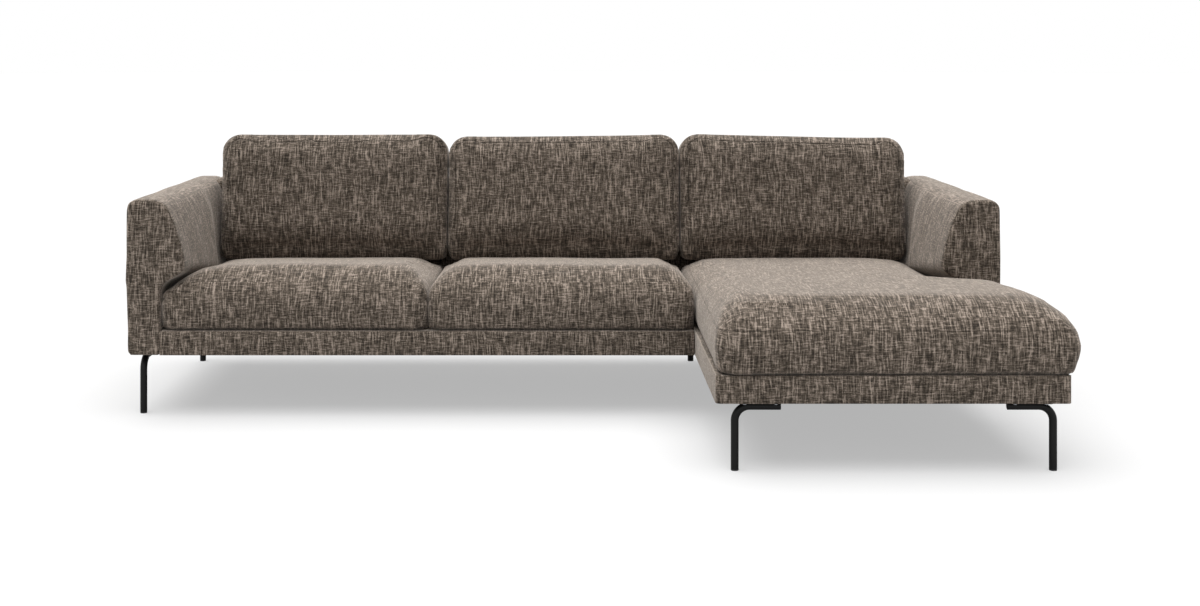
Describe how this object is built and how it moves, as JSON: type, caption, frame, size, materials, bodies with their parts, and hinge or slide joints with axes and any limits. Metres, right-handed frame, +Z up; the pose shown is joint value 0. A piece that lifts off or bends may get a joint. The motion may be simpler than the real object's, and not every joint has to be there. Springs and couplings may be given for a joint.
{
  "type": "sectional sofa with chaise",
  "caption": "Low sectional sofa in two hooked units, with sloping rolled arms, loose seat and back cushions, a long chaise seat on the right and bent tube legs.",
  "frame": {"origin": "on the floor, at the middle of the plan of the whole sofa", "axes": "+X to the right as seen from the front, +Y to the back, +Z up"},
  "size_m": [2.8404, 1.57, 0.858],
  "materials": {
    "upholstery": "flecked taupe weave, matt",
    "cushion_fabric": "flecked taupe weave, matt",
    "lining_cloth": "thin black non-woven cloth",
    "webbing": "woven elastic belt",
    "foam": "open-cell foam",
    "timber": "planed, unfinished",
    "black_steel": "black powder coat, satin",
    "fasteners": "zinc plated",
    "glides": "moulded black plastic"
  },
  "bodies": {
    "chaise_unit": {"chaise_front_rail": "timber", "chaise_step_rail": "timber", "chaise_rear_rail": "timber", "chaise_left_rail": "timber", "chaise_right_front_rail": "timber", "chaise_right_rear_rail": "timber", "chaise_leg_blocks": "timber", "chaise_webbing": "webbing", "chaise_deck_cloth": "lining_cloth", "chaise_plinth_cover": "upholstery", "chaise_dust_cover": "lining_cloth", "chaise_back_frame": "timber", "chaise_back_webbing": "webbing", "chaise_back_foam": "foam", "chaise_back_cover": "upholstery", "chaise_bolts": "fasteners", "chaise_legs": "black_steel", "chaise_leg_screws": "fasteners", "chaise_leg_glides": "glides", "chaise_slot_plates": "black_steel", "right_arm_frame": "timber", "right_arm_foam": "foam", "right_arm_cover": "upholstery", "slot_plate_screws": "fasteners"},
    "two_seat_unit": {"two_seat_front_rail": "timber", "two_seat_rear_rail": "timber", "two_seat_left_rail": "timber", "two_seat_middle_rail": "timber", "two_seat_right_rail": "timber", "two_seat_webbing": "webbing", "two_seat_deck_cloth": "lining_cloth", "two_seat_plinth_cover": "upholstery", "two_seat_dust_cover": "lining_cloth", "two_seat_back_frame": "timber", "two_seat_back_webbing": "webbing", "two_seat_back_foam": "foam", "two_seat_back_cover": "upholstery", "two_seat_bolts": "fasteners", "two_seat_legs": "black_steel", "two_seat_leg_screws": "fasteners", "two_seat_leg_glides": "glides", "two_seat_hook_plates": "black_steel", "left_arm_frame": "timber", "left_arm_foam": "foam", "left_arm_cover": "upholstery", "hook_plate_screws": "fasteners"},
    "left_seat_cushion": {"left_seat_cushion": "cushion_fabric"},
    "middle_seat_cushion": {"middle_seat_cushion": "cushion_fabric"},
    "chaise_seat_cushion": {"chaise_seat_cushion": "cushion_fabric"},
    "left_back_cushion": {"left_back_cushion": "cushion_fabric"},
    "middle_back_cushion": {"middle_back_cushion": "cushion_fabric"},
    "chaise_back_cushion": {"chaise_back_cushion": "cushion_fabric"}
  },
  "joints": [
    {"name": "unit_unhook", "type": "slide", "parent": "chaise_unit", "child": "two_seat_unit", "axis": [0, 0, 1], "range_m": [0, 0.033]},
    {"name": "left_seat_lift_out", "type": "slide", "parent": "two_seat_unit", "child": "left_seat_cushion", "axis": [0, -1, 0], "range_m": [0, 0.75]},
    {"name": "middle_seat_lift_out", "type": "slide", "parent": "two_seat_unit", "child": "middle_seat_cushion", "axis": [0, -1, 0], "range_m": [0, 0.75]},
    {"name": "chaise_seat_lift_out", "type": "slide", "parent": "chaise_unit", "child": "chaise_seat_cushion", "axis": [0, -1, 0], "range_m": [0, 1.4]},
    {"name": "left_back_lift_out", "type": "slide", "parent": "two_seat_unit", "child": "left_back_cushion", "axis": [0, 0.1392, 0.9903], "range_m": [0, 0.45]},
    {"name": "middle_back_lift_out", "type": "slide", "parent": "two_seat_unit", "child": "middle_back_cushion", "axis": [0, 0.1392, 0.9903], "range_m": [0, 0.45]},
    {"name": "chaise_back_lift_out", "type": "slide", "parent": "chaise_unit", "child": "chaise_back_cushion", "axis": [0, 0.1392, 0.9903], "range_m": [0, 0.45]}
  ]
}
